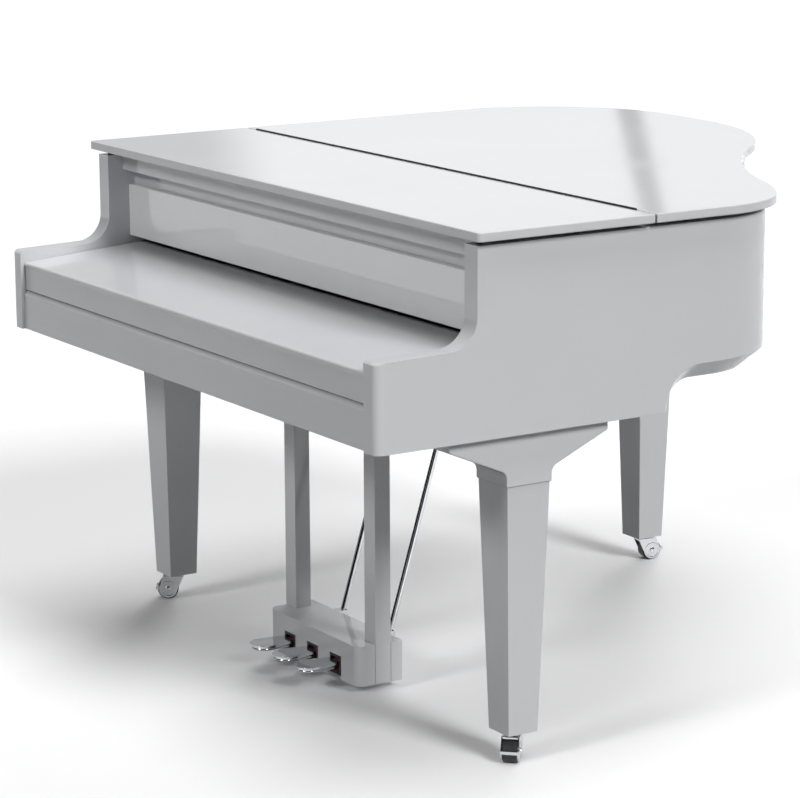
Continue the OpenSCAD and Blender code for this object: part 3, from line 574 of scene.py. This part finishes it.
# ---------------------------------------------------------------- camera
AZIMUTH, ELEVATION, ROLL = (math.radians(a) for a in (57.34384, 12.40347, -0.26357))
CAMERA_PLACE = (4.944092, -3.400090, 1.820577)
FOCAL_LENGTH, SENSOR_WIDTH, CLIP_END = 137.5566, 36.0, 200.0
forward = Vector((-math.sin(AZIMUTH) * math.cos(ELEVATION),
                  math.cos(AZIMUTH) * math.cos(ELEVATION), -math.sin(ELEVATION)))
right = Vector((math.cos(AZIMUTH), math.sin(AZIMUTH), 0.0))
up = right.cross(forward)
across = math.cos(ROLL) * right + math.sin(ROLL) * up
upright = math.cos(ROLL) * up - math.sin(ROLL) * right
camera_data = bpy.data.cameras.new("camera")
camera_data.lens = FOCAL_LENGTH
camera_data.sensor_width = SENSOR_WIDTH
camera_data.clip_end = CLIP_END
camera = bpy.data.objects.new("camera", camera_data)
camera.matrix_world = Matrix((across, upright, -forward)).transposed().to_4x4()
camera.location = CAMERA_PLACE
bpy.context.scene.collection.objects.link(camera)
bpy.context.scene.camera = camera

# ---------------------------------------------------------------- floor and backdrop
FLOOR_HALF, BACKDROP_R, BACKDROP_H = 60.0, 58.0, 60.0


def stage_piece(name, bm, material):
    """A studio mesh in metres, which throws no diffuse light back on the piano."""
    mesh = bpy.data.meshes.new(name)
    bm.to_mesh(mesh)
    bm.free()
    mesh.materials.append(material)
    obj = bpy.data.objects.new(name, mesh)
    bpy.context.scene.collection.objects.link(obj)
    obj.visible_diffuse = False
    return obj


def glowing(name):
    """A material that only shines, white."""
    mat = bpy.data.materials.new(name)
    mat.use_nodes = True
    tree = mat.node_tree
    tree.nodes.clear()
    emission = tree.nodes.new("ShaderNodeEmission")
    out = tree.nodes.new("ShaderNodeOutputMaterial")
    tree.links.new(emission.outputs[0], out.inputs[0])
    return mat


bm = bmesh.new()
bmesh.ops.create_grid(bm, x_segments=1, y_segments=1, size=FLOOR_HALF)
stage_piece("floor", bm, surface("studio_floor", (0.80, 0.80, 0.805), (0.82, 0.82, 0.825),
                                 0.6, (0.75, 0.9), 2.0, (30.0, 0.05, 0.001)))

# A round white wall near the floor's edge, which neither shades anything nor is mirrored
bm = bmesh.new()
bmesh.ops.create_cone(bm, cap_ends=False, segments=96, radius1=BACKDROP_R,
                      radius2=BACKDROP_R, depth=BACKDROP_H)
backdrop = stage_piece("backdrop", bm, glowing("backdrop"))
backdrop.visible_glossy = False
backdrop.visible_shadow = False

# ---------------------------------------------------------------- sky
world = bpy.data.worlds.new("studio")
bpy.context.scene.world = world
world.use_nodes = True
sky = world.node_tree
sky.nodes.clear()
sky_out = sky.nodes.new("ShaderNodeOutputWorld")
back = sky.nodes.new("ShaderNodeBackground")
sky_coord = sky.nodes.new("ShaderNodeTexCoord")


def towards(direction):
    """How far a direction in the sky leans towards the one given."""
    node = sky.nodes.new("ShaderNodeVectorMath")
    node.operation = "DOT_PRODUCT"
    node.inputs[1].default_value = direction
    sky.links.new(sky_coord.outputs["Generated"], node.inputs[0])
    return node.outputs["Value"]


def dimmer(value, ends, levels):
    """Blends softly between two levels while the value goes between two ends."""
    node = sky.nodes.new("ShaderNodeMapRange")
    node.interpolation_type = "SMOOTHSTEP"
    for socket, number in zip(("From Min", "From Max", "To Min", "To Max"), (*ends, *levels)):
        node.inputs[socket].default_value = number
    sky.links.new(value, node.inputs["Value"])
    return node.outputs[0]


def sky_math(operation, first, second):
    node = sky.nodes.new("ShaderNodeMath")
    node.operation = operation
    for socket, value in zip(node.inputs, (first, second)):
        if isinstance(value, float):
            socket.default_value = value
        else:
            sky.links.new(value, socket)
    return node.outputs[0]


# The glow behind the piano is a wall of soft boxes: one dark joint, and dimmer to the left.
# An even glow from below stands in for the light that the floor would throw back.
GLOW_CENTRE, GLOW_ENDS, GLOW_LEVELS = (-0.82, 0.54, 0.18), (0.25, 0.85), (0.04, 1.12)
JOINT_LEAN, JOINT_PLACE = -0.2355, 0.0461
JOINT_ENDS, JOINT_LEVELS = (0.0012, 0.0064), (0.25, 1.0)
LEFT_ENDS, LEFT_LEVELS = (-0.098, -0.070), (0.4, 1.0)
GROUND_ENDS, GROUND_LEVELS = (-0.15, 0.0), (0.25, 0.0)
sideways = towards((math.cos(AZIMUTH), math.sin(AZIMUTH), JOINT_LEAN))
joint_gap = sky_math("ABSOLUTE", sky_math("SUBTRACT", sideways, JOINT_PLACE), 0.0)
glow = dimmer(towards(Vector(GLOW_CENTRE).normalized()), GLOW_ENDS, GLOW_LEVELS)
glow = sky_math("MULTIPLY", glow, dimmer(joint_gap, JOINT_ENDS, JOINT_LEVELS))
glow = sky_math("MULTIPLY", glow, dimmer(sideways, LEFT_ENDS, LEFT_LEVELS))
glow = sky_math("ADD", glow, dimmer(towards((0.0, 0.0, 1.0)), GROUND_ENDS, GROUND_LEVELS))
sky.links.new(glow, back.inputs["Strength"])
sky.links.new(back.outputs[0], sky_out.inputs[0])

# ---------------------------------------------------------------- lights
# Name, where it shines from, strength, width in degrees, and whether the lacquer mirrors it:
# the lid would burn out where it mirrored the light from above or behind
LIGHTS = (("top_light", (0.08, 0.02, 1.0), 1.55, 36.0, False),
          ("front_light", (0.10, -0.80, 0.52), 0.95, 14.0, True),
          ("side_light", (0.82, 0.10, 0.56), 2.35, 18.0, True),
          ("back_light", (-0.62, 0.70, 0.42), 1.1, 24.0, False))
for name, place, strength, angle, mirrored in LIGHTS:
    data = bpy.data.lights.new(name, "SUN")
    data.energy = strength
    data.angle = math.radians(angle)
    sun = bpy.data.objects.new(name, data)
    sun.rotation_euler = (-Vector(place)).to_track_quat("-Z", "Y").to_euler()
    sun.visible_glossy = mirrored
    bpy.context.scene.collection.objects.link(sun)
bpy.context.scene.view_settings.view_transform = "Standard"
